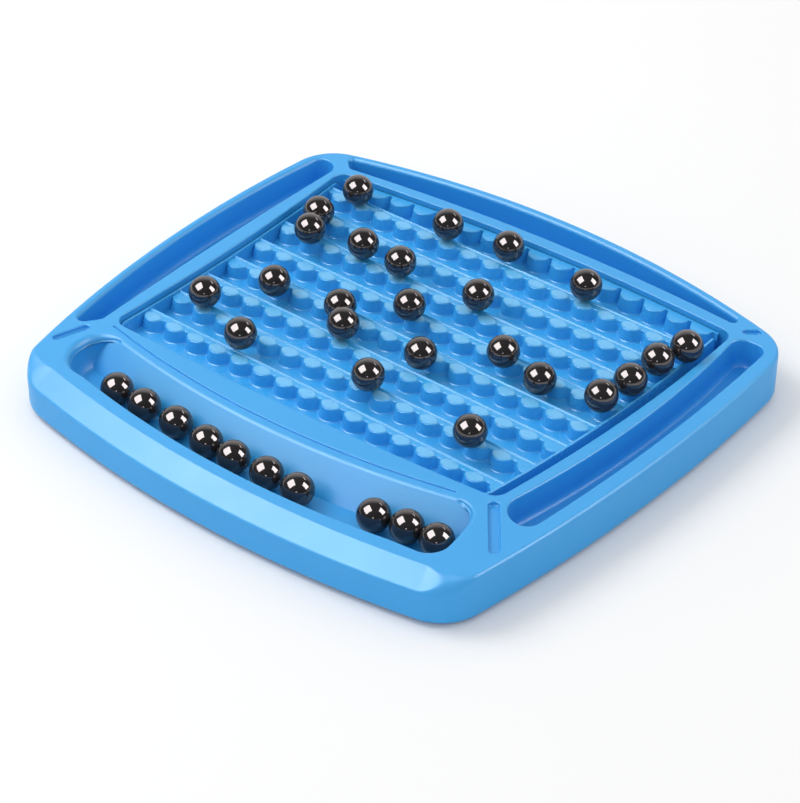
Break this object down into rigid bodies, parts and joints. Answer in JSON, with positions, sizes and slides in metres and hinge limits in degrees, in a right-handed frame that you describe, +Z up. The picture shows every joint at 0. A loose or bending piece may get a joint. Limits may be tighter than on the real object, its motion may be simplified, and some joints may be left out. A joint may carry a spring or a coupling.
{
  "type": "marble strategy tray",
  "caption": "Moulded tray with crescent troughs round a scalloped play mat, closed by a base cover on rubber feet, with loose polished magnetic marbles.",
  "frame": {"origin": "under the middle of the tray, on the plane that the feet rest on", "axes": "+Z up, -Y towards the long front trough, +X to the right of someone looking from that front"},
  "size_m": [0.2362, 0.2203, 0.0301],
  "materials": {
    "shell": "satin",
    "mat": "satin",
    "cover": "satin",
    "screw": "satin",
    "foot": "matte",
    "marble": "polished"
  },
  "bodies": {
    "tray": {"tray_shell": "shell", "play_mat": "mat", "base_cover": "cover", "base_screw_1": "screw", "base_screw_2": "screw", "base_screw_3": "screw", "base_screw_4": "screw", "foot_1": "foot", "foot_2": "foot", "foot_3": "foot", "foot_4": "foot"},
    "ball_01": {"ball_01": "marble"},
    "ball_02": {"ball_02": "marble"},
    "ball_03": {"ball_03": "marble"},
    "ball_04": {"ball_04": "marble"},
    "ball_05": {"ball_05": "marble"},
    "ball_06": {"ball_06": "marble"},
    "ball_07": {"ball_07": "marble"},
    "ball_08": {"ball_08": "marble"},
    "ball_09": {"ball_09": "marble"},
    "ball_10": {"ball_10": "marble"},
    "ball_11": {"ball_11": "marble"},
    "ball_12": {"ball_12": "marble"},
    "ball_13": {"ball_13": "marble"},
    "ball_14": {"ball_14": "marble"},
    "ball_15": {"ball_15": "marble"},
    "ball_16": {"ball_16": "marble"},
    "ball_17": {"ball_17": "marble"},
    "ball_18": {"ball_18": "marble"},
    "ball_19": {"ball_19": "marble"},
    "ball_20": {"ball_20": "marble"},
    "ball_21": {"ball_21": "marble"},
    "ball_22": {"ball_22": "marble"},
    "ball_23": {"ball_23": "marble"},
    "ball_24": {"ball_24": "marble"},
    "ball_25": {"ball_25": "marble"},
    "ball_26": {"ball_26": "marble"},
    "ball_27": {"ball_27": "marble"},
    "ball_28": {"ball_28": "marble"},
    "ball_29": {"ball_29": "marble"},
    "ball_30": {"ball_30": "marble"},
    "ball_31": {"ball_31": "marble"},
    "ball_32": {"ball_32": "marble"},
    "ball_33": {"ball_33": "marble"},
    "ball_34": {"ball_34": "marble"}
  },
  "joints": [
    {"name": "ball_01_lift", "type": "slide", "parent": "tray", "child": "ball_01", "axis": [0, 0, 1], "range_m": [0, 0.045]},
    {"name": "ball_02_lift", "type": "slide", "parent": "tray", "child": "ball_02", "axis": [0, 0, 1], "range_m": [0, 0.045]},
    {"name": "ball_03_lift", "type": "slide", "parent": "tray", "child": "ball_03", "axis": [0, 0, 1], "range_m": [0, 0.045]},
    {"name": "ball_04_lift", "type": "slide", "parent": "tray", "child": "ball_04", "axis": [0, 0, 1], "range_m": [0, 0.045]},
    {"name": "ball_05_lift", "type": "slide", "parent": "tray", "child": "ball_05", "axis": [0, 0, 1], "range_m": [0, 0.045]},
    {"name": "ball_06_lift", "type": "slide", "parent": "tray", "child": "ball_06", "axis": [0, 0, 1], "range_m": [0, 0.045]},
    {"name": "ball_07_lift", "type": "slide", "parent": "tray", "child": "ball_07", "axis": [0, 0, 1], "range_m": [0, 0.045]},
    {"name": "ball_08_lift", "type": "slide", "parent": "tray", "child": "ball_08", "axis": [0, 0, 1], "range_m": [0, 0.045]},
    {"name": "ball_09_lift", "type": "slide", "parent": "tray", "child": "ball_09", "axis": [0, 0, 1], "range_m": [0, 0.045]},
    {"name": "ball_10_lift", "type": "slide", "parent": "tray", "child": "ball_10", "axis": [0, 0, 1], "range_m": [0, 0.045]},
    {"name": "ball_11_lift", "type": "slide", "parent": "tray", "child": "ball_11", "axis": [0, 0, 1], "range_m": [0, 0.045]},
    {"name": "ball_12_lift", "type": "slide", "parent": "tray", "child": "ball_12", "axis": [0, 0, 1], "range_m": [0, 0.045]},
    {"name": "ball_13_lift", "type": "slide", "parent": "tray", "child": "ball_13", "axis": [0, 0, 1], "range_m": [0, 0.045]},
    {"name": "ball_14_lift", "type": "slide", "parent": "tray", "child": "ball_14", "axis": [0, 0, 1], "range_m": [0, 0.045]},
    {"name": "ball_15_lift", "type": "slide", "parent": "tray", "child": "ball_15", "axis": [0, 0, 1], "range_m": [0, 0.045]},
    {"name": "ball_16_lift", "type": "slide", "parent": "tray", "child": "ball_16", "axis": [0, 0, 1], "range_m": [0, 0.045]},
    {"name": "ball_17_lift", "type": "slide", "parent": "tray", "child": "ball_17", "axis": [0, 0, 1], "range_m": [0, 0.045]},
    {"name": "ball_18_lift", "type": "slide", "parent": "tray", "child": "ball_18", "axis": [0, 0, 1], "range_m": [0, 0.045]},
    {"name": "ball_19_lift", "type": "slide", "parent": "tray", "child": "ball_19", "axis": [0, 0, 1], "range_m": [0, 0.045]},
    {"name": "ball_20_lift", "type": "slide", "parent": "tray", "child": "ball_20", "axis": [0, 0, 1], "range_m": [0, 0.045]},
    {"name": "ball_21_lift", "type": "slide", "parent": "tray", "child": "ball_21", "axis": [0, 0, 1], "range_m": [0, 0.045]},
    {"name": "ball_22_lift", "type": "slide", "parent": "tray", "child": "ball_22", "axis": [0, 0, 1], "range_m": [0, 0.045]},
    {"name": "ball_23_lift", "type": "slide", "parent": "tray", "child": "ball_23", "axis": [0, 0, 1], "range_m": [0, 0.045]},
    {"name": "ball_24_lift", "type": "slide", "parent": "tray", "child": "ball_24", "axis": [0, 0, 1], "range_m": [0, 0.045]},
    {"name": "ball_25_lift", "type": "slide", "parent": "tray", "child": "ball_25", "axis": [0, 0, 1], "range_m": [0, 0.045]},
    {"name": "ball_26_lift", "type": "slide", "parent": "tray", "child": "ball_26", "axis": [0, 0, 1], "range_m": [0, 0.045]},
    {"name": "ball_27_lift", "type": "slide", "parent": "tray", "child": "ball_27", "axis": [0, 0, 1], "range_m": [0, 0.045]},
    {"name": "ball_28_lift", "type": "slide", "parent": "tray", "child": "ball_28", "axis": [0, 0, 1], "range_m": [0, 0.045]},
    {"name": "ball_29_lift", "type": "slide", "parent": "tray", "child": "ball_29", "axis": [0, 0, 1], "range_m": [0, 0.045]},
    {"name": "ball_30_lift", "type": "slide", "parent": "tray", "child": "ball_30", "axis": [0, 0, 1], "range_m": [0, 0.045]},
    {"name": "ball_31_lift", "type": "slide", "parent": "tray", "child": "ball_31", "axis": [0, 0, 1], "range_m": [0, 0.045]},
    {"name": "ball_32_lift", "type": "slide", "parent": "tray", "child": "ball_32", "axis": [0, 0, 1], "range_m": [0, 0.045]},
    {"name": "ball_33_lift", "type": "slide", "parent": "tray", "child": "ball_33", "axis": [0, 0, 1], "range_m": [0, 0.045]},
    {"name": "ball_34_lift", "type": "slide", "parent": "tray", "child": "ball_34", "axis": [0, 0, 1], "range_m": [0, 0.045]}
  ]
}
